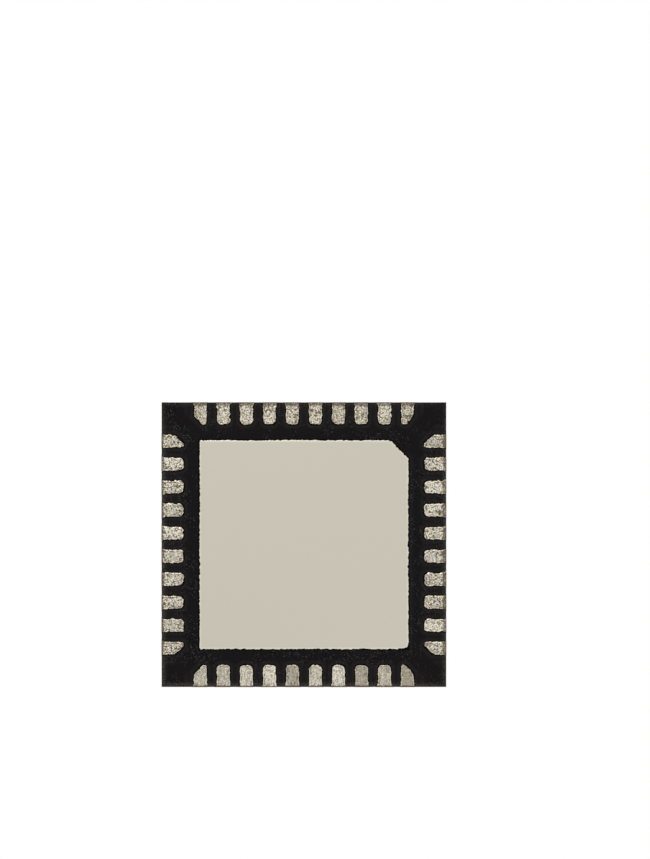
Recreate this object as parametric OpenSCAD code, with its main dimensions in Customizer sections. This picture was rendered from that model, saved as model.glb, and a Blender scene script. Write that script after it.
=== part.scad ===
// Quad flat no-lead integrated circuit, terminals down.
// A sheet of etched copper makes the heat pad and the terminals. The silicon die is glued to the pad
// and wired to the terminals, and black epoxy is moulded over them and sawn to a square block.
// The solder faces lie in the plane z = 0, and terminal 1 is at the corner of low x and low y.

/* [Package] */
// Width and length of the square block
body_size = 4.95; // [4.6:0.05:6]
// Height from the solder faces to the top
body_height = 0.9; // [0.8:0.05:1.4]
// How far the plated metal stands proud of the epoxy underneath
stand_off = 0.02; // [0.01:0.005:0.05]

/* [Terminals] */
// Least distance from the block's corner to an end terminal
corner_space = 0.55; // [0.5:0.01:0.56]
// Distance from one terminal to the next
terminal_pitch = 0.4; // [0.36:0.01:0.42]
// Width of a terminal
terminal_width = 0.22; // [0.18:0.01:0.25]
// Length of a terminal's solder face, in from the sawn side
terminal_length = 0.385; // [0.3:0.005:0.45]
// Radius of the two corners at a terminal's inner end
terminal_round = 0.07; // [0.03:0.01:0.08]
// Slanting cut on the end terminals, which clears the tie bars
end_cut = 0.17; // [0.12:0.01:0.19]
// Radius that softens the ends of that cut
end_cut_round = 0.02; // [0.01:0.005:0.03]

/* [Etched copper sheet] */
// Thickness of the sheet
sheet = 0.2; // [0.15:0.01:0.25]
// Depth etched away from below at rims, tongues and tie bars
half_etch = 0.1; // [0.07:0.01:0.12]
// Narrowest gap between the upper halves of two pieces
etch_gap = 0.1; // [0.08:0.01:0.12]

/* [Die paddle] */
// Gap between the solder faces of the pad and the terminals
pad_clearance = 0.275; // [0.22:0.005:0.35]
// Slanting cut of the pad's corner next to terminal 1
pad_chamfer = 0.32; // [0.15:0.01:0.5]
// Radius of the pad's other corners
pad_round = 0.03; // [0.01:0.01:0.1]
// Width of the half-thickness rim that locks the pad in the epoxy
pad_rim = 0.06; // [0.03:0.01:0.1]
// Width of the four corner tie bars
tie_width = 0.14; // [0.1:0.01:0.18]

/* [Die] */
// Width and length of the silicon die
die_size = 2.6; // [2:0.05:3.1]
// Thickness of the silicon die
die_thickness = 0.25; // [0.15:0.01:0.35]
// Thickness of the adhesive under the die
attach_thickness = 0.025; // [0.01:0.005:0.05]
// How far the adhesive reaches beyond the die
attach_margin = 0.05; // [0.02:0.01:0.08]
// Radius of the adhesive's corners
attach_round = 0.12; // [0.05:0.01:0.3]

/* [Bond wires] */
// Diameter of a bond wire
wire_diameter = 0.025; // [0.018:0.001:0.04]
// Diameter of the ball at the die end
ball_diameter = 0.06; // [0.045:0.005:0.08]
// Height of that ball
ball_height = 0.018; // [0.012:0.002:0.03]
// Height of the wire's loop above the die
loop_height = 0.15; // [0.1:0.01:0.2]
// Length of the level stretch at the top of the loop
loop_level = 0.3; // [0.15:0.01:0.4]
// Size of the bend from the rise into the level stretch
loop_bend = 0.04; // [0.02:0.01:0.06]
// Distance from the die's edge to the middle of a ball
ball_inset = 0.08; // [0.05:0.01:0.15]
// Distance from the die's corner to the first ball
ball_corner = 0.31; // [0.2:0.01:0.4]
// Distance from a terminal's inner end out to the wire's foot
foot_inset = 0.09; // [0.05:0.01:0.15]

/* [Marks on top] */
// Depth of the laser marks
mark_depth = 0.02; // [0.01:0.005:0.04]
// Diameter of the round mark for terminal 1
dot_diameter = 0.8; // [0.4:0.02:1]
// Distance of its middle from the left side
dot_from_left = 1.32; // [0.8:0.01:1.6]
// Distance of its middle from the front side
dot_from_front = 1.125; // [0.8:0.005:1.3]
// Plain oblong marks in each row
marks_in_row = 6; // [1:1:7]
// Rows of marks
mark_rows = 2; // [1:1:2]
// Distance from one mark to the next in a row
mark_pitch = 0.6; // [0.5:0.005:0.65]
// Distance from one row to the next
mark_row_pitch = 1.2; // [1.1:0.01:1.3]
// Width of a mark
mark_width = 0.39; // [0.3:0.005:0.45]
// Height of a mark
mark_height = 0.98; // [0.8:0.01:1.05]
// Width of the laser's stroke
mark_stroke = 0.1; // [0.05:0.005:0.12]
// Radius of the mark's outer corners
mark_round = 0.06; // [0.02:0.01:0.12]
// Distance from the back side to the first row
marks_from_back = 0.835; // [0.5:0.005:1]
// Sideways offset of the rows from the middle
mark_shift = 0.03; // [-0.1:0.01:0.1]

/* [Hidden] */
// Each side holds as many terminals as fit at their pitch between the corner spaces
row_room = body_size - 2 * corner_space - terminal_width;
terminals_per_side = floor(row_room / terminal_pitch) + 1;
terminal_count = 4 * terminals_per_side;
function terminal_name(i) = str("terminal_", i < 10 ? "0" : "", i);

half_body = body_size / 2;
row_middle = (terminals_per_side - 1) / 2;
// Half the pad's solder face, and half its wider upper part
half_pad = half_body - terminal_length - pad_clearance;
half_rim = half_pad + pad_rim;
// A terminal's tongue fills what the rim and the etched gap leave of the clearance
tongue = pad_clearance - pad_rim - etch_gap;
// Tie bars and slanting cuts run along lines y = x + offset, each offset measured along y
tie_offset = tie_width / sqrt(2);
gap_offset = etch_gap * sqrt(2);
attach_bottom = sheet;
die_bottom = sheet + attach_thickness;
die_top = die_bottom + die_thickness;
half_attach = die_size / 2 + attach_margin;
ball_pitch = (die_size - 2 * ball_corner) / (terminals_per_side - 1);
// The ball's foot is narrower than its middle by this share
ball_foot = 0.8;
wire_sides = 6;
arc_steps = 3;
// Cutting shapes run past the block's faces by this much
overshoot = 0.05;

epoxy_black = [0.17, 0.16, 0.165];
tin_grey = [0.78, 0.76, 0.71];
adhesive_grey = [0.62, 0.62, 0.6];
silicon_grey = [0.35, 0.37, 0.42];
wire_gold = [0.88, 0.68, 0.32];

// Unit vector along v
function unit(v) = v / norm(v);
// Plane vector v turned by angle a
function turned(v, a) = [v.x * cos(a) - v.y * sin(a), v.x * sin(a) + v.y * cos(a)];
// Corner b between the points a and c, as an arc of radius r that touches both edges
function corner_arc(a, b, c, r) =
    let (u = unit(a - b), v = unit(c - b), half = acos(u * v) / 2)
    let (middle = b + unit(u + v) * r / sin(half))
    let (start = b + u * r / tan(half) - middle)
    let (turn = (180 - 2 * half) * sign(cross(v, u)))
    [for (k = [0 : arc_steps]) middle + turned(start, turn * k / arc_steps)];
// Outline through the points p, with corner i rounded by radius r[i]
function rounded(p, r) =
    let (n = len(p))
    [for (i = [0 : n - 1])
        each r[i] > 0 ? corner_arc(p[(i + n - 1) % n], p[i], p[(i + 1) % n], r[i]) : [p[i]]];
// Rectangle of half sizes h about the middle m, with all corners rounded by r
function rounded_box(h, r, m = [0, 0]) =
    rounded([m + [-h.x, -h.y], m + [h.x, -h.y], m + [h.x, h.y], m + [-h.x, h.y]], [r, r, r, r]);

// Places its children on side k, counted from the front, anticlockwise seen from above
module on_side(k) {
    rotate([0, 0, 90 * k]) children();
}

// Outline of one terminal on the front side, as far back as y = inner.
// cut is how much of the outer corner is taken off at 45 degrees, and side is -1 or 1 for the
// end terminals, which have it, and 0 for the others. past lengthens the terminal out of the block.
module terminal_outline(x, inner, cut, side, past) {
    w = terminal_width / 2;
    front = -half_body - past;
    plain = [[-w, front], [w, front], [w, inner], [-w, inner]];
    cornered = [[-w, front], [w, front], [w, inner - cut], [w - cut, inner], [-w, inner]];
    translate([x, 0])
        if (side == 0)
            polygon(rounded(plain, [0, 0, terminal_round, terminal_round]));
        else
            mirror([side < 0 ? 1 : 0, 0])
                polygon(rounded(cornered, [0, 0, end_cut_round, end_cut_round, end_cut_round]));
}

// Terminal j of the front side, from its solder face up to the sheet's top.
// Its upper half has a tongue, which carries the wire's foot and holds it in the epoxy.
module terminal_on_front(j, past = 0) {
    x = (j - row_middle) * terminal_pitch;
    side = j == 0 ? -1 : j == terminals_per_side - 1 ? 1 : 0;
    inner = -half_body + terminal_length;
    tongue_end = inner + tongue;
    // The upper half may reach to the etched gap beside the tie bar
    reach = half_body - row_middle * terminal_pitch - terminal_width / 2;
    tongue_cut = min(terminal_width - 2 * end_cut_round,
        max(2 * end_cut_round, terminal_length + tongue + tie_offset + gap_offset - reach));
    translate([0, 0, -past])
        linear_extrude(half_etch + past)
            terminal_outline(x, inner, end_cut, side, past);
    translate([0, 0, half_etch])
        linear_extrude(sheet - half_etch)
            terminal_outline(x, tongue_end, tongue_cut, side, past);
}

// Terminal i, counted from 1 at the marked corner
module terminal_shape(i, past = 0) {
    on_side(floor((i - 1) / terminals_per_side))
        terminal_on_front((i - 1) % terminals_per_side, past);
}

module terminal(i) {
    color(tin_grey) terminal_shape(i);
}

// Square of half size h with the corner next to terminal 1 cut by c
function pad_outline(h, c) =
    rounded(
        [[-h, -h + c], [-h + c, -h], [h, -h], [h, h], [-h, h]],
        [pad_round, pad_round, pad_round, pad_round, pad_round]);

// Tie bar along the diagonal, from inside the rim out to the block's corner
module tie_bar(past) {
    inside = half_pad - pad_chamfer;
    corner = half_body + past;
    polygon([
        [inside, inside + tie_offset],
        [corner - tie_offset, corner],
        [corner, corner],
        [corner, corner - tie_offset],
        [inside + tie_offset, inside]]);
}

// Pad with its solder face below, and its rim and tie bars above the half-etched depth
module paddle_shape(past = 0) {
    translate([0, 0, -past])
        linear_extrude(half_etch + past) polygon(pad_outline(half_pad, pad_chamfer));
    translate([0, 0, half_etch])
        linear_extrude(sheet - half_etch)
            union() {
                polygon(pad_outline(half_rim, pad_chamfer));
                for (k = [0 : 3]) rotate(90 * k) tie_bar(past);
            }
}

module die_paddle() {
    color(tin_grey) paddle_shape();
}

module attach_shape() {
    translate([0, 0, attach_bottom])
        linear_extrude(attach_thickness)
            polygon(rounded_box([half_attach, half_attach], attach_round));
}

module die_attach() {
    color(adhesive_grey) attach_shape();
}

module die_shape() {
    translate([-die_size / 2, -die_size / 2, die_bottom])
        cube([die_size, die_size, die_thickness]);
}

module silicon_die() {
    color(silicon_grey) die_shape();
}

// One bond wire's centre line in its own upright plane, as [distance out, height, radius,
// heading, stretch]. Each ring of the wire stands square to its heading, and the stretch
// makes up for a mitre. The ball sits on the die, and the foot lies flat on the terminal.
function wire_stations(run, drop) =
    let (r = wire_diameter / 2, ball = ball_diameter / 2)
    let (slope = atan2(loop_height + drop, run - loop_level))
    [
        [0, 0, ball * ball_foot, 90, 1],
        [0, ball_height / 2, ball, 90, 1],
        [0, ball_height, r, 90, 1],
        [0, loop_height - loop_bend, r, 67.5, 1 / cos(22.5)],
        [loop_bend, loop_height, r, 22.5, 1 / cos(22.5)],
        [loop_level, loop_height, r, -slope / 2, 1 / cos(slope / 2)],
        [run, -drop, r, -90, 1 / sin(slope)]
    ];

// Ring of points round one station. out is the wire's direction seen from above.
function wire_ring(start, out, s) =
    let (side = [-out.y, out.x])
    [for (k = [0 : wire_sides - 1])
        let (a = 360 * (k + 0.5) / wire_sides)
        let (across = s[2] * cos(a), along = s[2] * s[4] * sin(a))
        let (flat = start + out * (s[0] - along * sin(s[3])) + side * across)
        [flat.x, flat.y, die_top + s[1] + along * cos(s[3])]];

// Bond wire from a ball on the die at start to a foot on the terminal at finish
module bond_wire(start, finish) {
    stations = wire_stations(norm(finish - start), die_top - sheet);
    rings = len(stations);
    points = [for (s = stations) each wire_ring(start, unit(finish - start), s)];
    walls = [for (i = [0 : rings - 2], k = [0 : wire_sides - 1])
        let (a = i * wire_sides + k, b = i * wire_sides + (k + 1) % wire_sides)
        each [[a, a + wire_sides, b], [b, a + wire_sides, b + wire_sides]]];
    first = [for (k = [0 : wire_sides - 1]) k];
    last = [for (k = [wire_sides - 1 : -1 : 0]) (rings - 1) * wire_sides + k];
    polyhedron(points, concat([first], walls, [last]));
}

// The wires of side k
module wires_shape(k) {
    on_side(k)
        for (j = [0 : terminals_per_side - 1])
            bond_wire(
                [(j - row_middle) * ball_pitch, -die_size / 2 + ball_inset],
                [(j - row_middle) * terminal_pitch, -half_body + terminal_length - foot_inset]);
}

module bond_wires(k) {
    color(wire_gold) wires_shape(k);
}

// One mark: a plain upright frame, a laser stroke wide
module mark(x, y) {
    half = [mark_width, mark_height] / 2;
    stroke = [mark_stroke, mark_stroke];
    translate([x, y, body_height - mark_depth])
        linear_extrude(mark_depth + overshoot)
            difference() {
                polygon(rounded_box(half, mark_round));
                polygon(rounded_box(half - stroke, max(0, mark_round - mark_stroke)));
            }
}

// The round mark beside terminal 1 and the rows of plain marks
module marks() {
    translate([dot_from_left - half_body, dot_from_front - half_body, body_height - mark_depth])
        cylinder(h = mark_depth + overshoot, d = dot_diameter, $fn = 72);
    for (row = [0 : mark_rows - 1], i = [0 : marks_in_row - 1])
        mark(
            mark_shift + (i - (marks_in_row - 1) / 2) * mark_pitch,
            half_body - marks_from_back - mark_height / 2 - row * mark_row_pitch);
}

// The epoxy fills every space round what it holds, so it is the block less those shapes
module mould_body() {
    color(epoxy_black)
        difference() {
            translate([-half_body, -half_body, stand_off])
                cube([body_size, body_size, body_height - stand_off]);
            paddle_shape(overshoot);
            for (i = [1 : terminal_count]) terminal_shape(i, overshoot);
            attach_shape();
            die_shape();
            for (k = [0 : 3]) wires_shape(k);
            marks();
        }
}

mould_body();
die_paddle();
die_attach();
silicon_die();
bond_wires(0);  // bond_wires_front
bond_wires(1);  // bond_wires_right
bond_wires(2);  // bond_wires_back
bond_wires(3);  // bond_wires_left
for (i = [1 : terminal_count])
    terminal(i);
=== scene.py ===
"""Quad flat no-lead integrated circuit, seen from its solder side.

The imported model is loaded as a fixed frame, and its pieces are dressed in the order of assembly:
pad, terminals, adhesive, die, wires and epoxy. Lengths below are in millimetres, and MM is one.
"""

import itertools
import math

import bpy
import numpy as np
from mathutils import Matrix, Vector


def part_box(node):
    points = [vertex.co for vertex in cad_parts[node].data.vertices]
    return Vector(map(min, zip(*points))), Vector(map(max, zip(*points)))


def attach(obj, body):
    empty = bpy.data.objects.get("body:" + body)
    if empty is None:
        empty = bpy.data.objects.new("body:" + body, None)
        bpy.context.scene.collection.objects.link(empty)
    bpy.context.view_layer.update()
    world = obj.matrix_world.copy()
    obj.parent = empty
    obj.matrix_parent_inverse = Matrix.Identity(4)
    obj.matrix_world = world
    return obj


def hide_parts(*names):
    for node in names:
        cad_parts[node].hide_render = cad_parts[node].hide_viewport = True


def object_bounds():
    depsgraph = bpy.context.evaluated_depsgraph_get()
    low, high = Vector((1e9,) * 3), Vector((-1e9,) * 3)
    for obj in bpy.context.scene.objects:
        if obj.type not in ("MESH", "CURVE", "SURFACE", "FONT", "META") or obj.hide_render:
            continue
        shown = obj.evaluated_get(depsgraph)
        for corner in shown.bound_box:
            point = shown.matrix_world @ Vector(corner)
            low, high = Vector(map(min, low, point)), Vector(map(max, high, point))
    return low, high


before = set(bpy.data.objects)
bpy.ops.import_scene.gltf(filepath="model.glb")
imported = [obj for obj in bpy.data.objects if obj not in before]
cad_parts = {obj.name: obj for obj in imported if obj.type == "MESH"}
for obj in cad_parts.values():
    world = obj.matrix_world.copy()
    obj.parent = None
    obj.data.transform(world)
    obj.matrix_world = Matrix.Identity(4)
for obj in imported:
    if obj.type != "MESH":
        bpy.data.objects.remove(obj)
cad_low, cad_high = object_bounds()
MM = 0.001

# Die paddle.
# The heat pad and its rim and tie bars, etched from one copper sheet and plated with matte tin.
# The etch leaves ragged edges, and the plating builds up into a bead along them, with painted
# highlight.
half_body = cad_high[0] / MM
sheet = 0.2
half_etch = 0.1
half_pad = 1.815
half_rim = 1.875
tie_half = 0.07
pad_chamfer = 0.312
# The right side is worn in at a low angle where it nears the front, and the corner there is dulled.
worn_length = 0.165
worn_angle = math.radians(12.5)
worn_corner = 0.052
# The higher this norm is, the sharper are the pad's corners.
corner_norm = 200
# The ragged edge: the height, cell and seed of each wave, and how far in from it they die off.
edge_waves = (0.007, 0.04, 11), (0.01, 0.02, 12), (0.006, 0.3, 14)
edge_shift = 0.0015
edge_fade = 0.03
# The solder face is dimpled just inside its edge, and the edge itself is rolled over.
dimple_depth, dimple_start = 0.0025, 0.012
pad_roll_height, pad_roll_width = 0.011, 0.004
# The height of each loop up the wall, and how much of the raggedness it keeps.
pad_wall = (0.03, 0.7), (0.06, 0.4), (half_etch - 0.002, 0.2)
pad_points_a_side = 300
pad_insets = (
    1.2, 0.7, 0.4, 0.2, 0.12, 0.08, 0.055, 0.04, 0.03, 0.022, 0.016, 0.011, 0.007, 0.003, 0.0)

pad_cream = (0.523, 0.488, 0.418, 1)
pad_green = (0.505, 0.492, 0.41, 1)
# The bead's colour is painted highlight, and the pits' colour is painted shade.
pad_bead_highlight = (0.64, 0.61, 0.505, 1)
pad_pit_shade = (0.27, 0.25, 0.2, 1)
copper_cut = (0.36, 0.19, 0.125, 1)
copper_smear = (0.2, 0.105, 0.07, 1)


class Signal:
    """An output in a node tree. Arithmetic adds Math nodes, and node() adds any other node."""

    def __init__(self, socket):
        self.socket = socket

    def node(self, kind, settings=None, sockets=None, out=0):
        """Adds a node: its settings first, then the values or links of its sockets."""
        tree = self.socket.id_data
        made = tree.nodes.new(kind)
        for name, value in (settings or {}).items():
            setattr(made, name, value)
        for name, value in (sockets or {}).items():
            if isinstance(value, Signal):
                tree.links.new(value.socket, made.inputs[name])
            else:
                made.inputs[name].default_value = value
        return Signal(made.outputs[out])

    def math(self, operation, first, second=0.0):
        """A Math node on two numbers or signals."""
        return self.node("ShaderNodeMath", {"operation": operation}, {0: first, 1: second})

    def __add__(self, other):
        return self.math("ADD", self, other)

    def __radd__(self, other):
        return self.math("ADD", other, self)

    def __sub__(self, other):
        return self.math("SUBTRACT", self, other)

    def __rsub__(self, other):
        return self.math("SUBTRACT", other, self)

    def __mul__(self, other):
        return self.math("MULTIPLY", self, other)

    def __rmul__(self, other):
        return self.math("MULTIPLY", other, self)

    def __truediv__(self, other):
        return self.math("DIVIDE", self, other)

    def __pow__(self, other):
        return self.math("POWER", self, other)

    def __mod__(self, other):
        return self.math("FLOORED_MODULO", self, other)

    def __abs__(self):
        return self.math("ABSOLUTE", self)


def larger(a, b):
    """The larger of two signals or arrays."""
    if isinstance(a, Signal):
        return a.math("MAXIMUM", a, b)
    return np.maximum(a, b)


def smaller(a, b):
    """The smaller of two signals or arrays."""
    if isinstance(a, Signal):
        return a.math("MINIMUM", a, b)
    return np.minimum(a, b)


def ramp(value, low, high):
    """3t^2 - 2t^3, where t goes from 0 at low to 1 at high, for signals or arrays."""
    if isinstance(value, Signal):
        return value.node(
            "ShaderNodeMapRange",
            {"interpolation_type": "SMOOTHSTEP"},
            {"Value": value, "From Min": low, "From Max": high})
    t = np.clip((value - low) / (high - low), 0, 1)
    return t * t * (3 - 2 * t)


def mix(factor, first, second):
    """The colour that goes from first to second as factor goes from 0 to 1."""
    return factor.node(
        "ShaderNodeMix", {"data_type": "RGBA"}, {"Factor": factor, 6: first, 7: second}, out=2)


def bare_tree(owner):
    """The node tree of a material or a world, emptied."""
    owner.use_nodes = True
    owner.node_tree.nodes.clear()
    return owner.node_tree


def place_in_mm(tree):
    """The place on the piece in millimetres."""
    place = Signal(tree.nodes.new("ShaderNodeTexCoord").outputs["Object"])
    return place.node("ShaderNodeVectorMath", {"operation": "SCALE"}, {0: place, "Scale": 1 / MM})


def new_finish(name, **constants):
    """A material with one shader, its constants set, and the place on the piece."""
    finish = bpy.data.materials.new(name)
    tree = bare_tree(finish)
    output = tree.nodes.new("ShaderNodeOutputMaterial")
    shader = tree.nodes.new("ShaderNodeBsdfPrincipled")
    tree.links.new(shader.outputs["BSDF"], output.inputs["Surface"])
    for socket, value in constants.items():
        shader.inputs[socket.replace("_", " ")].default_value = value
    return finish, shader, place_in_mm(tree)


def connect(shader, **signals):
    """Links signals to the shader's sockets of those names."""
    for socket, signal in signals.items():
        shader.id_data.links.new(signal.socket, shader.inputs[socket.replace("_", " ")])


def coordinates(place):
    """The three coordinates of a place."""
    parts = place.node("ShaderNodeSeparateXYZ", None, {0: place}).socket.node.outputs
    return [Signal(parts[k]) for k in range(3)]


def noise(place, cell, detail=2.0, roughness=0.6):
    """Noise from 0 to 1 with features about one cell across."""
    return place.node(
        "ShaderNodeTexNoise", None,
        {"Vector": place, "Scale": 1 / cell, "Detail": detail, "Roughness": roughness})


def stretched(place, along):
    """The place with each coordinate divided by how far a feature is drawn out along it."""
    return place.node(
        "ShaderNodeVectorMath", {"operation": "DIVIDE"}, {0: place, 1: along})


def carried(place, name):
    """A value that the mesh carries at each point."""
    return place.node("ShaderNodeAttribute", {"attribute_name": name}, out=2)


def raised(place, height, distance, strength=1.0):
    """Normals of the surface raised by height times distance."""
    return place.node(
        "ShaderNodeBump", None, {"Height": height, "Distance": distance * MM, "Strength": strength})


def grain(x, y, cell, seed):
    """Smooth random field from -1 to 1: random values on a square lattice, joined by the smooth
    step 3t^2 - 2t^3 along y and then along x."""
    size = 256
    table = np.random.default_rng(seed).uniform(-1, 1, (size, size))
    middle = 16 * size + 0.5
    u, v = x / cell + middle, y / cell + middle
    i, j = np.floor(u).astype(int), np.floor(v).astype(int)
    s, t = ramp(u - i, 0, 1), ramp(v - j, 0, 1)
    near, far = [
        table[k % size, j % size] * (1 - t) + table[k % size, (j + 1) % size] * t
        for k in (i, i + 1)]
    return near * (1 - s) + far * s


def waves(x, y, sizes, level=0.0):
    """A level plus several grains, each of them its height times the grain of its cell and seed."""
    return sum((height * grain(x, y, cell, seed) for height, cell, seed in sizes), level)


def bands(numbers):
    """Quads between closed loops of point numbers, (loop, point)."""
    following = np.roll(numbers, -1, axis=1)
    quads = [numbers[:-1], following[:-1], following[1:], numbers[1:]]
    return np.stack(quads, -1).reshape(-1, 4)


def put_mesh(name, points, faces, finishes, finish_of=None, **values):
    """An object at the origin with its place in its mesh, and with values carried by its points."""
    mesh = bpy.data.meshes.new(name)
    mesh.from_pydata((points * MM).tolist(), [], faces)
    mesh.polygons.foreach_set("use_smooth", np.ones(len(faces), bool))
    mesh.set_sharp_from_angle(angle=math.radians(40))
    for finish in finishes:
        mesh.materials.append(finish)
    if finish_of is not None:
        mesh.polygons.foreach_set("material_index", finish_of.astype(np.int32))
    for value, numbers in values.items():
        attribute = mesh.attributes.new(value, "FLOAT", "POINT")
        attribute.data.foreach_set("value", numbers.astype(np.float32).ravel())
    mesh.update()
    made = bpy.data.objects.new(name, mesh)
    bpy.context.scene.collection.objects.link(made)
    return made


def pad_reach(angle, half):
    """Distance from the middle to a square's outline with one cut corner and one worn at a low
    angle and dulled at its tip: a line lies at d / cos(angle - its direction), and a norm of high
    order joins the seven with slightly rounded corners."""
    directions = np.append(np.radians([0, 90, 180, 270, 225, 315]), -worn_angle)[:, None]
    cut, dulled = [math.sqrt(2) * (half - taken / 2) for taken in (pad_chamfer, worn_corner)]
    worn = half * math.cos(worn_angle) + (half - worn_length) * math.sin(worn_angle)
    lines = np.array([half, half, half, half, cut, dulled, worn])[:, None]
    shares = np.maximum(np.cos(angle - directions), 0) / lines
    return np.sum(shares**corner_norm, axis=0) ** (-1 / corner_norm)


def tie_bar_reach(angle):
    """Distance to the outline of the tie bars: half a bar's width over the sine of the angle from
    the nearest diagonal, and no further than the block's side."""
    from_diagonal = (angle % (math.pi / 2)) - math.pi / 4
    along_bar = tie_half / np.maximum(np.abs(np.sin(from_diagonal)), 1e-9)
    to_side = half_body / np.maximum(np.abs(np.cos(angle)), np.abs(np.sin(angle)))
    return np.minimum(along_bar, to_side)


def pad_skin():
    """Loops from the middle of the solder face out to its edge, up the wall, out under the rim and
    up again. A loop's point is its distance times (cos, sin) of its angle."""
    share = np.linspace(-1, 1, pad_points_a_side, endpoint=False)
    side_angles = np.arctan2(share, 1)
    bar_edge = math.asin(tie_half / (math.sqrt(2) * half_rim - tie_half))
    bar_end = math.asin(tie_half / (math.sqrt(2) * half_body - tie_half))
    corners = math.pi / 4 + np.array([-bar_edge, -bar_end, bar_end, bar_edge])
    quarter = np.concatenate([side_angles, corners])
    angle = np.unique((quarter[:, None] + np.radians([0, 90, 180, 270])).ravel() % (2 * math.pi))
    direction = np.stack([np.cos(angle), np.sin(angle)], -1)
    edge = pad_reach(angle, half_pad)
    x, y = edge * direction.T
    ragged = waves(x, y, edge_waves)
    inset = np.array(pad_insets)[:, None]
    beside_edge = np.exp(-inset / edge_fade)
    reach = edge - inset + (ragged - edge_shift) * beside_edge
    dimples = 0.4 + 0.6 * np.abs(grain(reach * direction[:, 0], reach * direction[:, 1], 0.02, 13))
    height = dimple_depth * dimples * (1 - np.exp(-inset / dimple_start)) * beside_edge
    height = height + pad_roll_height * np.exp(-inset / pad_roll_width)
    wall_levels, kept = np.array(pad_wall).T[..., None]
    upper = np.maximum(pad_reach(angle, half_rim), tie_bar_reach(angle))
    reach = np.concatenate([reach, edge + ragged * kept, [upper, upper]])
    levels = np.append(wall_levels, [half_etch, sheet])[:, None]
    height = np.concatenate([height, np.broadcast_to(levels, (len(levels), len(angle)))])
    return np.stack([reach * direction[:, 0], reach * direction[:, 1], height], -1)


def sawn_copper(place):
    """Copper under the saw: the blade's scratches along the block's sides, and their colour."""
    scratch = noise(stretched(place, (6.0, 6.0, 1.0)), 0.008, 2.0)
    return scratch, mix(ramp(scratch, 0.35, 0.7), copper_smear, copper_cut)


def plated_pad_finish():
    """Matte tin, fine and even, warmer in the middle, with a painted highlight along the bead at
    the edges and painted shade in a few pits. The tie bars' sawn ends show copper."""
    finish, shader, place = new_finish("pad_tin_plate", Metallic=1.0)
    x, y, _ = coordinates(place)
    out = larger(abs(x), abs(y))
    from_cut = abs(x + y + 2 * half_pad - pad_chamfer) / math.sqrt(2)
    inset = smaller(half_pad - out, from_cut)
    fine = noise(place, 0.012, 3.0, 0.65)
    broad = noise(place, 0.9, 2.0)
    cloud = noise(place, 0.12, 3.0)
    tone = mix(ramp(broad + (cloud - 0.5) * 0.4, 0.45, 0.75) * 0.2, pad_cream, pad_green)
    edge_tone = mix(ramp(inset + (cloud - 0.5) * 0.4, 0.0, 0.3) * 0.5 + 0.5, pad_green, tone)
    # The pale bead along the edges is painted highlight.
    bead = 1 - ramp(inset + (fine - 0.5) * 0.05 + (cloud - 0.5) * 0.03, 0.018, 0.036)
    colour = mix(bead * 0.75, edge_tone, pad_bead_highlight)
    # Darker colour in the pits is painted shade.
    pits = ramp(noise(place, 0.02, 1.0), 0.72, 0.82)
    colour = mix(pits * 0.2, colour, pad_pit_shade)
    sawn = ramp(out, half_body - 0.004, half_body - 0.002)
    scratch, copper = sawn_copper(place)
    bumps = (fine + cloud * 0.6 - pits) * (1 - sawn) + scratch * sawn
    connect(
        shader, Base_Color=mix(sawn, colour, copper),
        Roughness=0.42 + (fine - 0.5) * 0.25 + pits * 0.1 + sawn * 0.05,
        Normal=raised(place, bumps, 0.0012, 0.5))
    return finish


loops = pad_skin()
numbers = np.arange(loops[..., 0].size).reshape(loops.shape[:2])
faces = bands(numbers).tolist() + [numbers[0, ::-1].tolist(), numbers[-1].tolist()]
pad = put_mesh("heat_pad", loops.reshape(-1, 3), faces, [plated_pad_finish()])
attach(pad, "root")
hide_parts("die_paddle")

# Terminals.
# Forty fingers etched from the same sheet, ten to a side, plated with nodular matte tin before the
# saw parts them. Their sawn ends are bare copper, smeared and slightly burred along the cut.
terminals_a_side = 10
pitch = 0.4
row_places = [(j - (terminals_a_side - 1) / 2) * pitch for j in range(terminals_a_side)]
terminal_half = 0.11
terminal_length = 0.385
inner_round = 0.07
tip_round = 0.032
cut_bend = 0.03
tongue = 0.115
across_cells = 42
straight_cells = 54
round_cells = 14

# The rows differ, so these go by side: front, right, back and left.
end_cut = 0.155, 0.158, 0.152, 0.138  # Depth of the slanting cut on the row's end terminals.
nodular = 1.0, 0.42, 1.08, 1.0  # How nodular the tin is.
tone_spread = 0.46, 0.2, 0.62, 0.22  # How far the tone of the tin spreads.
end_darker = 0.25, 0.05, 0.25, 0.25  # How much darker the end terminals are.
uneven = 0.021, 0.015, 0.021, 0.021  # How ragged the edges are.
brown_tip = 0.15, 0.2, 0.3, 0.6  # How brown the rim is at the inner ends.
brown_stain = 0.3, 0.88, 0.22, 1.5  # How strong the brown stains are.
cool_stain = 0.3, 0.88, 0.22, 0.1  # How strong the cool grey stains are.
smear_width = 0.064, 0.031, 0.039, 0.067  # How far the saw smeared its copper inwards.

# On the solder face: the depth of the pits, the rolled edge with its bead, furrow and brown rim,
# the saw's drag along the sides, its spurs and burr at the cut, and the wiped patch.
relief_depth = 0.0045
roll_height, roll_width = 0.012, 0.005
ragged_reach = 0.02
bead_width = 0.012
furrow_inset, furrow_width = 0.028, 0.01
rim_width = 0.014
drag, drag_reach = 0.02, 0.08
spur, spur_reach = 0.025, 0.016
burr_height, burr_reach = 0.006, 0.006
wipe_middle, wipe_reach = 0.23, 0.1
# How much of the edge's shift each loop above keeps, and its height: the finger, then the tongue.
finger_loops = (0.7, 0.03), (0.5, 0.06), (0.3, half_etch - 0.003)
tongue_loops = (0.3, half_etch), (0.3, 0.15), (0.4, sheet)

# Cream and pale green are painted highlight on the tops of the grains, and the pit colour is
# painted shade.
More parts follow.
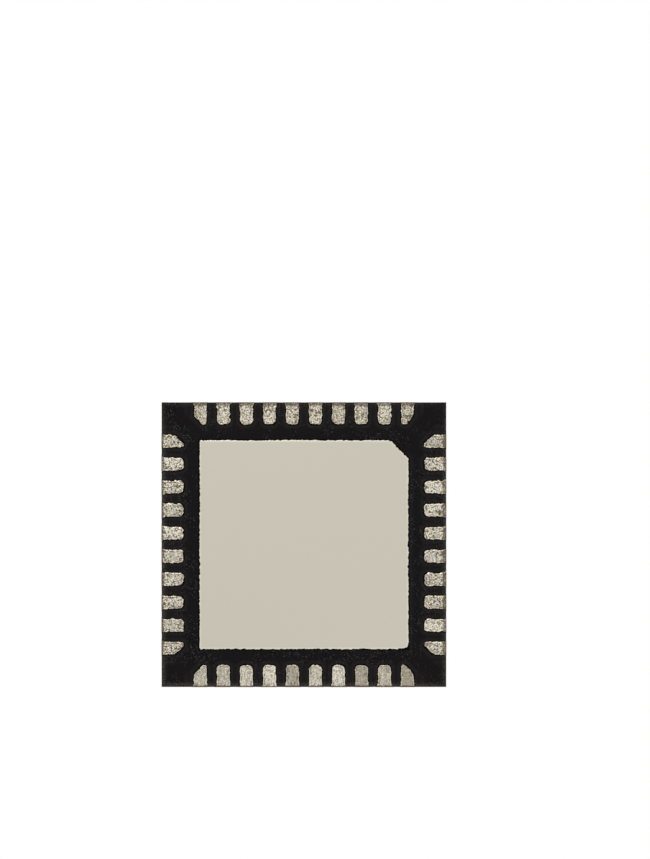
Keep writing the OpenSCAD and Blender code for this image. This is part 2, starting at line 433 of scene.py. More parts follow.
tin_cream_highlight = (0.805, 0.748, 0.632, 1)
tin_middle = (0.34, 0.307, 0.24, 1)
tin_pit_shade = (0.08, 0.065, 0.042, 1)
tin_brown = (0.23, 0.19, 0.14, 1)
tin_cool = (0.31, 0.3, 0.275, 1)
tin_pale_green_highlight = (0.715, 0.732, 0.607, 1)
tin_rim = (0.4, 0.28, 0.15, 1)
tin_wiped = (0.64, 0.65, 0.585, 1)
saw_smear = (0.115, 0.091, 0.063, 1)


def nodules(x, y, cell, seed):
    """Packed round grains, 1 on top and about 0 in the pits: one random centre stands in each cell
    of a square lattice, and the height is 1 less 1.2 times the squared distance to the nearest."""
    size = 128
    centres = np.random.default_rng(seed).uniform(0.08, 0.92, (2, size, size))
    u, v = x / cell + 8 * size, y / cell + 8 * size
    i, j = np.floor(u).astype(int), np.floor(v).astype(int)
    nearest = np.full(u.shape, 4.0)
    for a, b in itertools.product((-1, 0, 1), repeat=2):
        centre_u, centre_v = centres[:, (i + a) % size, (j + b) % size]
        nearest = np.minimum(nearest, (i + a + centre_u - u) ** 2 + (j + b + centre_v - v) ** 2)
    return np.clip(1 - nearest * 1.2, 0, 1)


def rows_to(length):
    """Distances in from the sawn end: even steps, then sines of even angles round the corners."""
    straight = np.linspace(0, length - inner_round, straight_cells + 1)
    turn = np.linspace(0, math.pi / 2, round_cells + 1)[1:]
    return np.concatenate([straight, length - inner_round + inner_round * np.sin(turn)])


def terminal_sides(y, length, cut_side, cut):
    """How far a terminal reaches left and right at the distance y in from its sawn end. A round
    corner takes off r - sqrt(r^2 - s^2) at a distance s past its start. A slanting cut takes off
    (s + sqrt(s^2 + b^2)) / 2, a line at 45 degrees that bends in softly over the length b."""
    radius = inner_round if cut_side == 0 else tip_round
    past = np.clip(y - (length - radius), 0, radius)
    rounded = terminal_half - radius + np.sqrt(radius**2 - past**2)
    past = y - (length - cut)
    slanted = terminal_half - (past + np.sqrt(past**2 + cut_bend**2)) / 2
    return (slanted if cut_side < 0 else rounded), (slanted if cut_side > 0 else rounded)


def terminal_outline(length, cut_side, cut, s):
    """Grid over a terminal: s from 0 to 1 across and rows_to(length) along."""
    y = rows_to(length)
    left, right = terminal_sides(y, length, cut_side, cut)
    x = -left + s[:, None] * (left + right)
    return x, np.broadcast_to(y, x.shape)


def grid_quads(numbers):
    """Quads of a grid of point numbers."""
    quads = [numbers[:-1, :-1], numbers[1:, :-1], numbers[1:, 1:], numbers[:-1, 1:]]
    return np.stack(quads, -1).reshape(-1, 4)


def border_of(numbers):
    """The numbers along a grid's border, anticlockwise."""
    return np.concatenate([
        numbers[:-1, 0], numbers[-1, :-1], numbers[:0:-1, -1], numbers[0, :0:-1]])


def loops_from(border, start, count):
    """Point numbers of closed loops: a border that is there already, and count more from start."""
    return np.vstack([border, start + np.arange(count * len(border)).reshape(count, -1)])


def dragged_out(x, y, across, reaches):
    """How far the saw dragged the tin out sideways: a reach on each side that dies off along the
    terminal, and one for the spur at the cut, times the cube of the distance from the middle."""
    drawn, spurred = reaches[:, (x > 0) * 1]
    dragged = drawn * np.exp(-y / drag_reach) + spurred * np.exp(-y / spur_reach)
    return dragged * np.abs(across) ** 3 * np.sign(x)


def tin_relief(x, y, warped, seed, side, tone):
    """The tin, from 0 in its pits to 1 on its grains, and its streaks: nodules of two sizes less
    scattered pits, shifted by the tone. A less nodular row has more of a plain streaked tone."""
    streak = grain(x, y / 12, 0.011, seed + 6)
    relief = 0.65 * nodules(*warped, 0.029, seed + 7) + 0.35 * nodules(*warped, 0.017, seed + 8)
    relief = (relief - 0.36 * ramp(grain(x, y, 0.028, seed + 9), 0.1, 0.9) - 0.36) / 0.6
    relief = nodular[side] * (relief + tone_spread[side] * (tone - 0.55))
    return relief + (1 - nodular[side]) * (tone + 0.2 * streak), streak


def wipe(x, y, seed, wiped):
    """Where a test contact wiped the tin flat, from 0 to 1, and the fine lines it left across: a
    bell along the terminal, broken up by grain, and grain drawn out ninefold along a slant."""
    bell = np.exp(-(((y - wipe_middle) / wipe_reach) ** 2))
    patch = wiped * bell * ramp(grain(x, y, 0.13, seed + 12), -0.5, 0.3)
    return patch, 0.55 + 0.45 * grain(x / 9, y + 0.25 * x, 0.019, seed + 13)


def terminal_skin(seed, side, cut_side, tone, wiped):
    """The solder face is a grid over (across, along), raised by nodules, rolled up at its edges and
    dragged out sideways where the saw left it. Loops of its border then run up the walls, out under
    the tongue, and up to the sheet's top. The points carry what the finish reads."""
    cut = end_cut[side]
    limits = [[drag], [spur + uneven[side]]]
    reaches = np.random.default_rng(seed).uniform(0, limits, (2, 2))
    s = np.linspace(0, 1, across_cells + 1)
    x, y = terminal_outline(terminal_length, cut_side, cut, s)
    left, right = terminal_sides(y[0], terminal_length, cut_side, cut)
    inset = np.minimum(np.minimum(x + left, right - x), terminal_length - y)

    ragged_x = waves(x, y, [(0.6, 0.055, seed + 2), (0.4, 0.022, seed + 3)])
    ragged_y = waves(x, y, [(0.6, 0.055, seed + 4), (0.4, 0.022, seed + 5)])
    pull = uneven[side] * np.exp(-inset / ragged_reach)
    shift_x = pull * ragged_x + dragged_out(x, y, 2 * s[:, None] - 1, reaches)
    shift_y = pull * (ragged_y - 0.1) * ramp(y, 0.01, 0.09)

    warped = x + 0.008 * ragged_x, y + 0.008 * ragged_y
    relief, streak = tin_relief(x, y, warped, seed, side, tone)
    patch, lines = wipe(x, y, seed, wiped)
    relief = relief * (1 - patch) + patch * lines
    # The bead and the furrow lift and sink the relief, which the finish also paints as highlight
    # and shade.
    bead = np.exp(-((inset / bead_width) ** 2)) * ramp(y, 0.01, 0.06)
    furrow = np.exp(-(((inset - furrow_inset) / furrow_width) ** 2))
    furrow = furrow * ramp(grain(x, y, 0.05, seed + 10), -0.2, 0.5)
    relief = np.clip(relief + 0.42 * bead - 0.38 * furrow, 0, 1)
    smeared = smear_width[side] * (1 + 0.3 * grain(x, 0 * y, 0.05, seed + 11)) + 0.008 * ragged_y
    smear = 1 - ramp(y, 0.75 * smeared, 1.25 * smeared)
    at_tip = ramp(y, terminal_length - 0.08, terminal_length - 0.03)
    rim = np.exp(-((inset / rim_width) ** 2)) * (0.25 + brown_tip[side] * at_tip)
    burr = burr_height * np.exp(-y / burr_reach) * (0.5 + 0.5 * grain(x, y, 0.03, seed + 1))
    height = relief_depth * (1 - relief) + roll_height * np.exp(-inset / roll_width) + burr

    face = np.stack([x + shift_x, y + shift_y, height], -1).reshape(-1, 3)
    numbers = np.arange(len(face)).reshape(x.shape)
    border = border_of(numbers)
    finger = np.stack([x, y], -1).reshape(-1, 2)[border]
    upper = terminal_outline(terminal_length + tongue, cut_side, cut, s)
    upper = np.stack(upper, -1).reshape(-1, 2)[border]
    shift = face[border, :2] - finger
    loops = [(finger, *loop) for loop in finger_loops] + [(upper, *loop) for loop in tongue_loops]
    walls = [np.column_stack([at + shift * kept, np.full(len(border), z)]) for at, kept, z in loops]
    points = np.concatenate([face, *walls])
    wall_numbers = loops_from(border, len(face), len(loops))
    faces = grid_quads(numbers)[:, ::-1].tolist() + bands(wall_numbers).tolist()
    faces.append(wall_numbers[-1].tolist())
    carried_on_face = {
        "relief": (relief, 0.5), "streak": (streak, 0.0), "smear": (smear, 0.0),
        "rim": (rim, 0.0), "wiped": (patch, 0.0)}
    values = {name: np.append(value.ravel(), np.full(len(points) - len(face), rest))
              for name, (value, rest) in carried_on_face.items()}
    return points, faces, values


def plated_terminal_finish():
    """Matte tin, painted pale cream on its grains as highlight and olive-brown in the pits as
    shade, with bare sawn copper on the ends, smeared over the last of the solder face."""
    finish, shader, place = new_finish("terminal_tin_plate", Metallic=1.0)
    x, y, _ = coordinates(place)
    out = larger(abs(x), abs(y))
    relief, streak = carried(place, "relief"), carried(place, "streak")
    smear, rim = carried(place, "smear"), carried(place, "rim")
    brown, cool, wiped = carried(place, "brown"), carried(place, "cool"), carried(place, "wiped")
    fine = noise(place, 0.009, 2.0, 0.6)
    speck = noise(place, 0.02, 0.0, 0.5)
    cloud = noise(place, 0.07, 2.0)
    # The relief sets the colour: painted shade in the pits and painted highlight on the grains.
    level = relief + (fine - 0.5) * 0.35 + (speck - 0.5) * 0.6 + (cloud - 0.5) * 0.25
    tin = mix(ramp(level, 0.0, 0.5), tin_pit_shade, tin_middle)
    grain_highlight = mix(ramp(noise(place, 0.11, 1.0), 0.4, 0.6) * 0.6, tin_cream_highlight, tin_pale_green_highlight)
    tin = mix(ramp(level, 0.5, 1.0), tin, grain_highlight)
    low = 1 - ramp(level, 0.55, 0.95) * 0.8
    tin = mix(cool * low * 0.85, tin, tin_cool)
    tin = mix(brown * low * ramp(cloud + streak * 0.2, 0.25, 0.6), tin, tin_brown)
    tin = mix(wiped * level * 0.7, tin, tin_wiped)
    tin = mix(rim, tin, tin_rim)
    tin = mix(smear * (1 - ramp(level, 0.45, 1.0) * 0.35), tin, saw_smear)
    tin = mix(ramp(out, half_body - 0.014, half_body - 0.004) * 0.5, tin, copper_smear)
    sawn = ramp(out, half_body - 0.003, half_body - 0.001)
    scratch, copper = sawn_copper(place)
    connect(
        shader, Base_Color=mix(sawn, tin, copper),
        Roughness=0.52 - relief * 0.14 + (fine - 0.5) * 0.2,
        Normal=raised(place, fine * (1 - sawn) + scratch * sawn, 0.0015, 0.5))
    return finish


tin = plated_terminal_finish()
# Each terminal draws its tone and how brown and how cool it is stained. The rows' end terminals are
# darker, and the first on the right is browner. A second draw wipes about half of the terminals.
tone_low, tone_high = [0.31, 0, 0], [0.79, 0.7, 0.7]
tones = np.random.default_rng(4953).uniform(tone_low, tone_high, (4, terminals_a_side, 3))
tones[:, [0, -1], 0] -= np.array(end_darker)[:, None]
tones[1, 0] = 0.43, 0.75, 0.1
wiped = np.random.default_rng(23).uniform(-0.8, 0.8, (4, terminals_a_side)).clip(0)
quarter_turns = (1, 0), (0, 1), (-1, 0), (0, -1)
for side, j in itertools.product(range(4), range(terminals_a_side)):
    number = side * terminals_a_side + j + 1
    cut_side = {0: -1, terminals_a_side - 1: 1}.get(j, 0)
    tone, brown, cool = tones[side, j]
    points, faces, values = terminal_skin(1000 * number, side, cut_side, tone, wiped[side, j])
    values["brown"] = np.full(len(points), brown**2 * brown_stain[side])
    values["cool"] = np.full(len(points), cool**2 * cool_stain[side])
    points[:, 0] += row_places[j]
    points[:, 1] -= half_body
    c, s = quarter_turns[side]
    points[:, :2] = points[:, :2] @ np.array([[c, s], [-s, c]])
    terminal = put_mesh(f"tinned_terminal_{number:02d}", points, faces, [tin], **values)
    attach(terminal, "root")
    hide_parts(f"terminal_{number:02d}")

# Die adhesive.
# A thin bed of silver-filled epoxy, dispensed wet on the pad and squeezed out a little past the
# die. Cured in an oven, it holds the die and carries its heat into the pad.
resin_grey = (0.2, 0.2, 0.195, 1)
flake_silver = (0.52, 0.52, 0.5, 1)


def cells(place, size, distance="EUCLIDEAN"):
    """A Voronoi pattern: the distance to the nearest middle, and a random number in each cell."""
    pattern = place.node(
        "ShaderNodeTexVoronoi", {"distance": distance}, {"Vector": place, "Scale": 1 / size})
    colour = Signal(pattern.socket.node.outputs["Color"])
    return pattern, place.node("ShaderNodeSeparateColor", None, {"Color": colour})


def dress(node, finish):
    """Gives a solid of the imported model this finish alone."""
    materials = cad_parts[node].data.materials
    materials.clear()
    materials.append(finish)


finish, shader, place = new_finish("die_adhesive", Metallic=0.35)
_, shine = cells(place, 0.012)
paste = noise(place, 0.08)
connect(
    shader,
    Base_Color=mix(ramp(shine + paste * 0.5, 0.5, 1.2), resin_grey, flake_silver),
    Roughness=0.62 - shine * 0.25,
    Normal=raised(place, shine + paste * 3, 0.002, 0.7))
dress("die_attach", finish)

# Silicon die.
# Cut from a polished wafer. The sawn sides are matte with fine blade marks, and the top carries a
# passivated field over fine wiring, with a row of aluminium bond pads along each edge.
die_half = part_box("silicon_die")[1][0] / MM
die_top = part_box("silicon_die")[1][2] / MM
ball_inset = 0.08
ball_from_corner = 0.31
ball_pitch = (2 * die_half - 2 * ball_from_corner) / (terminals_a_side - 1)
bond_pad_edge = 0.034, 0.037
line_pitch = 0.02

field_blue = (0.05, 0.07, 0.1, 1)
field_violet = (0.16, 0.12, 0.2, 1)
line_green = (0.2, 0.24, 0.22, 1)
silicon_dark = (0.09, 0.095, 0.105, 1)
silicon_pale = (0.17, 0.175, 0.19, 1)
aluminium = (0.75, 0.75, 0.76, 1)

finish, shader, place = new_finish("silicon", Specular_IOR_Level=0.7)
x, y, z = coordinates(place)
on_top = ramp(z, die_top - 0.003, die_top - 0.001)
from_balls = abs(die_half - larger(abs(x), abs(y)) - ball_inset)
along_edge = abs((smaller(abs(x), abs(y)) + ball_pitch / 2) % ball_pitch - ball_pitch / 2)
bond_pad = (1 - ramp(along_edge, *bond_pad_edge)) * (1 - ramp(from_balls, *bond_pad_edge))
lines = abs(x % line_pitch - line_pitch / 2) / (line_pitch / 2)
_, shade = cells(place, 0.3, "CHEBYCHEV")
wiring = mix(lines * 0.3, mix(shade, field_blue, field_violet), line_green)
blade = noise(stretched(place, (1.0, 1.0, 12.0)), 0.004)
sides = mix(blade, silicon_dark, silicon_pale)
connect(
    shader,
    Base_Color=mix(on_top, sides, mix(bond_pad, wiring, aluminium)),
    Metallic=bond_pad * on_top,
    Roughness=0.5 - on_top * 0.3 + bond_pad * on_top * 0.2,
    Normal=raised(place, blade * (1 - on_top) + lines * on_top * 0.2, 0.001, 0.5))
dress("silicon_die", finish)

# Bond wires.
# Forty fine wires of drawn gold. A ball at one end is welded to the die's bond pad, and a flat
# stitch at the other to the tongue of a terminal.
gold_deep = (0.78, 0.5, 0.15, 1)
gold_pale = (0.95, 0.68, 0.3, 1)
finish, shader, place = new_finish("bond_wire", Metallic=1.0)
drawn = noise(stretched(place, (1.0, 1.0, 0.4)), 0.006)
connect(
    shader,
    Base_Color=mix(drawn, gold_deep, gold_pale),
    Roughness=0.2 + drawn * 0.15,
    Normal=raised(place, drawn, 0.0005, 0.4))
for side in ("front", "right", "back", "left"):
    dress(f"bond_wires_{side}", finish)

# Moulded block.
# Black epoxy filled with fine silica, moulded flat over the whole lead frame and sawn into squares.
# The laser burns the round mark for terminal 1 and the rows of plain marks into its grained top.
top = cad_high[2] / MM
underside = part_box("mould_body")[0][2] / MM
saw_recess = 0.0025
inset_half = half_body - saw_recess
dot_centre = (1.32 - half_body, 1.125 - half_body)
dot_radius = 0.4
marks_in_row = 6
mark_pitch = 0.6
mark_row_pitch = 1.2
mark_half = (0.39 / 2, 0.98 / 2)
marks_from_side = 0.835
mark_middle = (0.03, half_body - marks_from_side - mark_half[1] - mark_row_pitch / 2)
mark_round = 0.06
mark_stroke = 0.1
mark_depth = 0.02
floor_lift, floor_rough = 0.003, 0.002
# The height, cell and seed of each wave in the two faces, and how far they lie inside the solid's.
top_waves = (0.001, 0.05, 1), (0.0008, 0.11, 2)
top_inside = 0.0022
under_waves = ((0.0012, 0.09, 5),)
under_inside = 0.0012
groove_depth = 0.008
chip_depth, chip_rough = 0.006, 0.005
foot_height = 0.004
side_rows = 13
edge_apart = 0.006
top_step = 0.0235
under_step = 0.036

charcoal_dark = (0.0035, 0.003, 0.0029, 1)
charcoal_pale = (0.0585, 0.0535, 0.052, 1)
silica = (0.17, 0.168, 0.17, 1)
worn_grey = (0.075, 0.066, 0.058, 1)
olive_dark = (0.005, 0.004, 0.003, 1)
olive_pale = (0.162, 0.149, 0.1, 1)
olive_brown = (0.174, 0.141, 0.105, 1)
olive_rim = (0.115, 0.11, 0.085, 1)
under_black = (0.0022, 0.0019, 0.002, 1)
under_pale = (0.0115, 0.01, 0.0105, 1)
under_fleck = (0.055, 0.052, 0.057, 1)
under_worn = (0.046, 0.04, 0.034, 1)
under_dust = (0.021, 0.018, 0.017, 1)
# Painted shade for the groove and the step beside the metal.
groove_painted_shade = (0.0015, 0.0007, 0.0002, 1)
sawn_brown = (0.066, 0.038, 0.027, 1)
sawn_dark = (0.013, 0.012, 0.0125, 1)
sawn_pale = (0.038, 0.035, 0.035, 1)
sawn_scratch = (0.062, 0.056, 0.053, 1)
sawn_silica = (0.12, 0.12, 0.12, 1)


def rounded_box_distance(x, y, half_width, half_height, radius):
    """Distance to a rounded rectangle: the length of the overshoot past its corners' centres, or
    the nearer side within them, less the radius."""
    beyond_x = abs(x) - (half_width - radius)
    beyond_y = abs(y) - (half_height - radius)
    overshoot = (larger(beyond_x, 0.0) ** 2.0 + larger(beyond_y, 0.0) ** 2.0) ** 0.5
    return overshoot + smaller(larger(beyond_x, beyond_y), 0.0) - radius


def dot_distance(x, y):
    """Distance to the round mark's edge, below zero inside it."""
    return ((x - dot_centre[0]) ** 2.0 + (y - dot_centre[1]) ** 2.0) ** 0.5 - dot_radius


def mark_distance(x, y, scorched=0.0):
    """Distance to the laser's strokes, widened by what is scorched beside them, below zero inside.
    One frame repeats: x is folded at its pitch, and y about the middle of the two rows."""
    along = (x - mark_middle[0]) / mark_pitch + marks_in_row / 2
    local_x = (along % 1.0 - 0.5) * mark_pitch
    local_y = abs(y - mark_middle[1]) - mark_row_pitch / 2
    outline = rounded_box_distance(local_x, local_y, *mark_half, mark_round)
    stroke = abs(outline + mark_stroke / 2) - mark_stroke / 2
    past_row = abs(x - mark_middle[0]) - marks_in_row * mark_pitch / 2
    return smaller(larger(stroke, past_row) - scorched, dot_distance(x, y))


def lines_through(edges, step):
    """Grid lines from one side of the block to the other: a close pair at each edge, and the spaces
    between filled evenly, no further apart than step."""
    pairs = np.concatenate([edges - edge_apart, edges + edge_apart, [-inset_half, inset_half]])
    stops = np.unique(np.round(pairs, 5))
    parts = [np.linspace(a, b, max(1, math.ceil((b - a) / step - 1e-6)), endpoint=False)
             for a, b in itertools.pairwise(stops)]
    return np.concatenate(parts + [stops[-1:]])


def perimeter(lines_x, lines_y):
    """Where each point of a grid's border lies on the way round: 0 to 4, one for each side."""
    fx = (lines_x + inset_half) / (2 * inset_half)
    fy = (lines_y + inset_half) / (2 * inset_half)
    return np.concatenate([fx[:-1], 1 + fy[:-1], 3 - fx[:0:-1], 4 - fy[:0:-1]])


def zipper(upper, lower, upper_numbers, lower_numbers):
    """Triangles between two borders with unlike numbers of points: each edge of one is joined to
    the point of the other that was last passed on the way round."""
    a, b = np.append(upper, 4.0), np.append(lower, 4.0)
    a_ring, b_ring = [np.append(n, n[0]) for n in (upper_numbers, lower_numbers)]
    at_b = np.searchsorted(b, a[1:], "left") - 1
    at_a = np.searchsorted(a, b[1:], "right") - 1
    first = np.stack([b_ring[at_b], a_ring[1:], a_ring[:-1]], -1)
    second = np.stack([b_ring[:-1], b_ring[1:], a_ring[at_a]], -1)
    return np.concatenate([first, second])


def top_height(x, y):
    """The top less its grain, and less the laser's depth in its strokes, whose floor is rough."""
    burnt = 1 - ramp(mark_distance(x, y), -edge_apart, edge_apart)
    skin = waves(x, y, top_waves, top - top_inside)
    return skin - burnt * (mark_depth - floor_lift - floor_rough * grain(x, y, 0.03, 3))


def metal_distance(x, y):
    """Distance to the solder faces: to the nearest of the row's terminals, folded at their pitch
    and cut at 45 degrees at the row's ends, or to the pad and its cut corner."""
    out, along = larger(abs(x), abs(y)), smaller(abs(x), abs(y))
    inward = half_body - out
    terminal = rounded_box_distance(
        along % pitch - pitch / 2, inward, terminal_half, terminal_length, inner_round)
    row_end = row_places[-1] + terminal_half
    slant = (along - row_end + inward - terminal_length + min(end_cut)) * math.sqrt(0.5)
    past_row = along - terminals_a_side / 2 * pitch
    cut_corner = (half_pad * 2 - pad_chamfer + x + y) * -math.sqrt(0.5)
    return smaller(larger(larger(terminal, slant), past_row), larger(out - half_pad, cut_corner))


def underside_height(x, y):
    """The smooth underside, with a shallow groove where the metal was cleaned of its flash."""
    groove = 1 - ramp(metal_distance(x, y), 0.006, 0.024)
    return waves(x, y, under_waves, underside + under_inside) + groove_depth * groove


def stroke_edges(half):
    """Where the two strokes of a frame begin and end, on either side of its middle."""
    return np.array([-half, half, mark_stroke - half, half - mark_stroke])


def top_lines():
    """Grid lines of the top, across and along, through the strokes' edges."""
    frame_x = (np.arange(marks_in_row) - (marks_in_row - 1) / 2)[:, None] * mark_pitch
    frame_y = np.array([[-1], [1]]) * mark_row_pitch / 2
    edges_x = mark_middle[0] + (frame_x + stroke_edges(mark_half[0])).ravel()
    edges_y = mark_middle[1] + (frame_y + stroke_edges(mark_half[1])).ravel()
    return lines_through(edges_x, top_step), lines_through(edges_y, top_step)


def under_lines():
    """Grid lines of the underside, alike both ways, through the terminals' and the pad's edges."""
    edges = np.add.outer(row_places, [-terminal_half, terminal_half]).ravel()
    more = np.array([half_pad, half_body - terminal_length])
    return lines_through(np.concatenate([edges, more, -more]), under_step)


def sawn_walls(rim, height):
    """Loops down the sides, their points pushed out from the recess by the saw's roughness.
    Slanting sums of x and y take that grain round the block, and the height takes it down."""
    rim_x, rim_y = rim.T
    level = np.linspace(0, 1, side_rows + 1)[1:, None]
    height = height * (1 - level) + (underside + foot_height) * level
    coarse = grain(rim_x + 3.1 * rim_y, height * 2, 0.07, 7)
    fine = grain(rim_x - 2.3 * rim_y, height, 0.03, 8)
    rough = coarse * 0.6 + fine * 0.4
    push = saw_recess * (0.45 + 0.35 * rough) * np.where(level < 1, 1, 0.5)
    pushed = rim + np.sign(rim) * push[..., None] * (np.abs(rim) > inset_half - 1e-6)
    return np.concatenate([pushed, height[..., None]], -1)


def block_skin():
    """Two grids of heights, top and underside, with loops down the sawn sides between their
    borders, and a strip of triangles from the last loop to the underside."""
    lines_x, lines_y = top_lines()
    x, y = np.meshgrid(lines_x, lines_y, indexing="ij")
    face = np.stack([x, y, top_height(x, y)], -1).reshape(-1, 3)
    numbers = np.arange(len(face)).reshape(x.shape)
    border = border_of(numbers)
    rim = face[border, :2]
    face[border, 2] = top - (chip_depth + chip_rough * grain(*rim.T, 0.06, 4))

    walls = sawn_walls(rim, face[border, 2]).reshape(-1, 3)
    wall_numbers = loops_from(border, len(face), side_rows)

    lines = under_lines()
    u, v = np.meshgrid(lines, lines, indexing="ij")
    base = np.stack([u, v, underside_height(u, v)], -1).reshape(-1, 3)
    base_numbers = len(face) + len(walls) + np.arange(len(base)).reshape(u.shape)

    strip = zipper(
        perimeter(lines_x, lines_y), perimeter(lines, lines), wall_numbers[-1],
        border_of(base_numbers))
    parts = [
        grid_quads(numbers).tolist(),
        bands(wall_numbers)[:, ::-1].tolist() + strip.tolist(),
        grid_quads(base_numbers)[:, ::-1].tolist()]
    finish_of = np.repeat([0, 1, 2], [len(part) for part in parts])
    return np.concatenate([face, walls, base]), sum(parts, []), finish_of


def flecks(place, cell, share):
    """Small round flecks in the given share of the cells of a Voronoi pattern."""
    to_middle, chance = cells(place, cell)
    return (1 - ramp(to_middle, 0.12, 0.45)) * ramp(chance, 1 - share - 0.02, 1 - share + 0.02)


def epoxy_top_finish():
    """Charcoal with fine grain and pale silica flecks, and sooty olive-brown from the laser."""
    finish, shader, place = new_finish("epoxy_top", Specular_IOR_Level=0.12)
    x, y, _ = coordinates(place)
    out = larger(abs(x), abs(y))
    brushed = stretched(place, (1.25, 0.72, 1.0))
    fine = noise(brushed, 0.024, 1.0)
    broad = noise(place, 0.5)
    pale = flecks(place, 0.036, 0.2) * ramp(broad, 0.25, 0.6)
    charcoal = mix((fine * 1.35) ** 3.0, charcoal_dark, charcoal_pale)
    charcoal = mix(pale * 0.65, charcoal, silica)
    worn = ramp(out + (fine - 0.5) * 0.05, half_body - 0.1, half_body - 0.02)
    charcoal = mix(worn * 0.5, charcoal, worn_grey)
    burnt = 1 - ramp(mark_distance(x, y, 0.004) + (fine - 0.5) * 0.04, -0.01, 0.006)
    soot = noise(brushed, 0.0272, 1.0, 0.5)
    off_dot = ramp(dot_distance(x, y), 0.02, 0.1)
    scorch = mix(ramp(noise(place, 0.4, 1.0), 0.42, 0.58), olive_pale, olive_brown)
    olive = mix((soot * 1.35) ** 3.0 + off_dot * 0.05, olive_dark, scorch)
    halo = 1 - ramp(abs(dot_distance(x, y) + 0.012 + (fine - 0.5) * 0.01), 0.006, 0.018)
    colour = mix(halo * 0.5, mix(burnt, charcoal, olive), olive_rim)
    edge = ramp(out + (fine - 0.5) * 0.02, half_body - 0.03, half_body - 0.016)
    edge = edge * (ramp(noise(place, 0.16), 0.35, 0.6) * 0.5 + 0.4)
    colour = mix(edge, colour, sawn_brown)
    connect(
        shader, Base_Color=colour,
        Roughness=0.66 + burnt * 0.16 - pale * 0.25,
        Normal=raised(place, fine + pale * 0.6 + soot * burnt * 1.5, 0.006, 0.7))
    return finish


def epoxy_sawn_finish():
    """Cut by the saw: cut silica grains, and the blade's long shallow scratches along the sides."""
    finish, shader, place = new_finish("epoxy_sawn", Specular_IOR_Level=0.12)
    fine = noise(place, 0.016)
    scratch = noise(stretched(place, (30.0, 30.0, 0.6)), 0.02, 3.0)
    pale = flecks(place, 0.036, 0.3) * ramp(noise(place, 0.3), 0.3, 0.65)
    colour = mix(ramp(fine, 0.3, 0.72), sawn_dark, sawn_pale)
    colour = mix(ramp(scratch, 0.48, 0.72) * 0.45, colour, sawn_scratch)
    colour = mix(pale * 0.6, colour, sawn_silica)
    connect(
        shader, Base_Color=colour, Roughness=0.72 - pale * 0.2,
        Normal=raised(place, fine * 0.5 + scratch + pale * 0.3, 0.006, 0.7))
    return finish


def epoxy_under_finish():
    """Near-black and fine, with a few pale flecks, painted shade in the groove along the metal,
    dusty between the terminals and rubbed grey along its edges."""
    finish, shader, place = new_finish("epoxy_underside", Specular_IOR_Level=0.05)
    x, y, _ = coordinates(place)
    out = larger(abs(x), abs(y))
    fine = noise(place, 0.024)
    metal = metal_distance(x, y)
    groove = 1 - ramp(metal + (fine - 0.5) * 0.01, 0.008, 0.03)
    dust = 1 - ramp(metal, 0.03, 0.11)
    dust = dust * larger(ramp(out, 1.95, 2.05), ramp(y * -1.0, 1.7, 1.9) * 0.8)
    broad = noise(place, 0.35)
    rough = ramp(broad, 0.42, 0.6) * (1 - ramp(abs(x) - y, 3.7, 4.2) * 0.7)
    pale = flecks(place, 0.032, 0.5) * rough
    level = ramp(fine, 0.42, 0.68) * (rough * 0.75 + 0.25) + (1 - rough) * 0.25
    colour = mix(level, under_black, under_pale)
    colour = mix(pale * 0.8, colour, under_fleck)
    colour = mix(dust * 0.35, colour, under_dust)
    worn = ramp(out, half_body - 0.17, half_body) ** 3.2 * (ramp(x, -2.6, -1.2) * 0.7 + 0.35)
    worn = worn * (1 - ramp(y * -1.0, 2.0, 2.4) * 0.35) * (ramp(fine, 0.4, 0.62) * 1.5 + 0.25)
    colour = mix(smaller(worn, 1.0), colour, under_worn)
    # Painted shade darkens the groove beside the metal, and it is weaker towards the block's sides.
    colour = mix(groove * (0.9 - ramp(out, 2.1, 2.15) * 0.5), colour, groove_painted_shade)
    edge = ramp(out + (fine - 0.5) * 0.04, half_body - 0.026, half_body - 0.01)
    colour = mix(edge * 0.4, colour, sawn_brown)
    connect(
        shader, Base_Color=colour, Roughness=0.62 + groove * 0.3,
        Normal=raised(place, fine + pale * 0.4, 0.003, 0.5))
    return finish


points, faces, finish_of = block_skin()
finishes = [epoxy_top_finish(), epoxy_sawn_finish(), epoxy_under_finish()]
block = put_mesh("moulded_block", points, faces, finishes, finish_of)
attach(block, "root")
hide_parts("mould_body")

# Floor.
# A pale matte table just under the solder faces. Seen from below it isn't there, and under the
# chip it lets the lower lamps through to the solder side. Far out the camera sees it plain white.
floor_reach = 400
floor_level = -0.004
floor_corners = np.array([(-1, -1), (1, -1), (1, 1), (-1, 1)]) * floor_reach
floor_mesh = bpy.data.meshes.new("pale_floor")
floor_points = [(x * MM, y * MM, floor_level * MM) for x, y in floor_corners]
floor_mesh.from_pydata(floor_points, [], [(0, 1, 2, 3)])
floor = bpy.data.objects.new("pale_floor", floor_mesh)
bpy.context.scene.collection.objects.link(floor)

floor_finish = bpy.data.materials.new("pale_floor")
tree = bare_tree(floor_finish)
place = place_in_mm(tree)
x, y, _ = coordinates(place)
from_camera = place.node("ShaderNodeLightPath", out=0)
from_below = place.node("ShaderNodeNewGeometry", out=6)
under_chip = 1 - ramp(larger(abs(x), abs(y)), half_body - 0.012, half_body - 0.004)
open_share = larger(from_below, under_chip * (1 - from_camera))
far = ramp((x**2.0 + y**2.0) ** 0.5, 5.0, 22.0) * from_camera
pale = place.node("ShaderNodeBsdfDiffuse", None, {"Color": (0.9, 0.9, 0.9, 1)})
white = place.node("ShaderNodeEmission", None, {"Color": (1, 1, 1, 1), "Strength": 1.0})
clear = place.node("ShaderNodeBsdfTransparent")
solid = place.node("ShaderNodeMixShader", None, {0: far, 1: pale, 2: white})
shown = place.node("ShaderNodeMixShader", None, {0: open_share, 1: solid, 2: clear})
output = tree.nodes.new("ShaderNodeOutputMaterial")
tree.links.new(shown.socket, output.inputs["Surface"])
floor_mesh.materials.append(floor_finish)

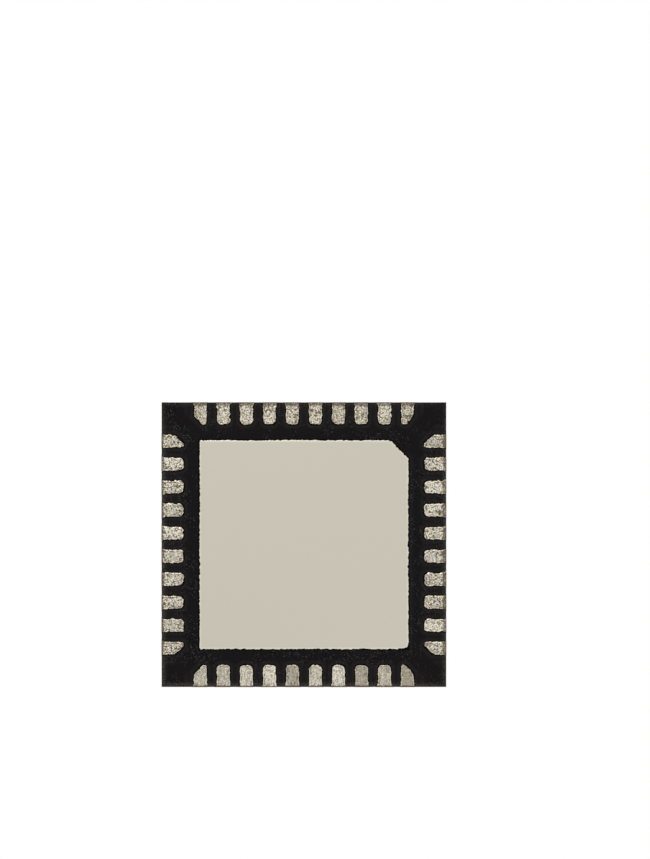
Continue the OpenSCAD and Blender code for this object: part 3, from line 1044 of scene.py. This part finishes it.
# Light.
# A white room, which the camera and the metal see at full strength, and four soft lamps: two above
# for the marked side and two below for the solder side.
ambient = 0.84
world = bpy.data.worlds.new("white_room")
bpy.context.scene.world = world
tree = bare_tree(world)
ray = Signal(tree.nodes.new("ShaderNodeLightPath").outputs["Is Camera Ray"])
kinds = ray.socket.node.outputs
seen = larger(larger(ray, Signal(kinds["Is Glossy Ray"])), Signal(kinds["Is Transmission Ray"]))
strength = ambient + seen * (1 - ambient)
room = ray.node("ShaderNodeBackground", None, {"Color": (1, 1, 1, 1), "Strength": strength})
output = tree.nodes.new("ShaderNodeOutputWorld")
tree.links.new(room.socket, output.inputs["Surface"])

# Each lamp's place and diameter in millimetres, and its power in watts.
lamps = {
    "key_above": ((-26, -24, 40), 22, 0.008),
    "fill_above": ((30, 16, 30), 28, 0.0028),
    "key_below": ((-32, 12, -38), 22, 0.008),
    "fill_below": ((26, -20, -34), 28, 0.0028)}
for name, (at, size, power) in lamps.items():
    lamp = bpy.data.lights.new(name, "AREA")
    lamp.shape, lamp.size, lamp.energy = "DISK", size * MM, power
    stand = bpy.data.objects.new(name, lamp)
    stand.location = Vector(at) * MM
    stand.rotation_euler = Vector(at).to_track_quat("Z", "Y").to_euler()
    bpy.context.scene.collection.objects.link(stand)

# Camera.
# It looks straight up at the solder side with a long lens, the corner of terminal 1 at the top
# right, and stands so that the chip has the size and place of the lower picture in the photograph.
picture = (650, 859)
pixels_a_mm = 57.57
chip_at = (303.93, 544.73)
lens, sensor = 135, 36
focal_pixels = lens / sensor * max(picture)
right_of_chip = (picture[0] / 2 - chip_at[0]) / pixels_a_mm
above_chip = (chip_at[1] - picture[1] / 2) / pixels_a_mm
away = focal_pixels / pixels_a_mm
eye = bpy.data.cameras.new("long_lens")
eye.lens, eye.sensor_width, eye.sensor_fit = lens, sensor, "AUTO"
eye.clip_start, eye.clip_end = 1 * MM, 2000 * MM
camera = bpy.data.objects.new("long_lens", eye)
camera.matrix_world = Matrix((
    (0, -1, 0, -above_chip * MM),
    (-1, 0, 0, -right_of_chip * MM),
    (0, 0, -1, -away * MM),
    (0, 0, 0, 1)))
bpy.context.scene.collection.objects.link(camera)
bpy.context.scene.camera = camera
bpy.context.scene.view_settings.view_transform = "Standard"
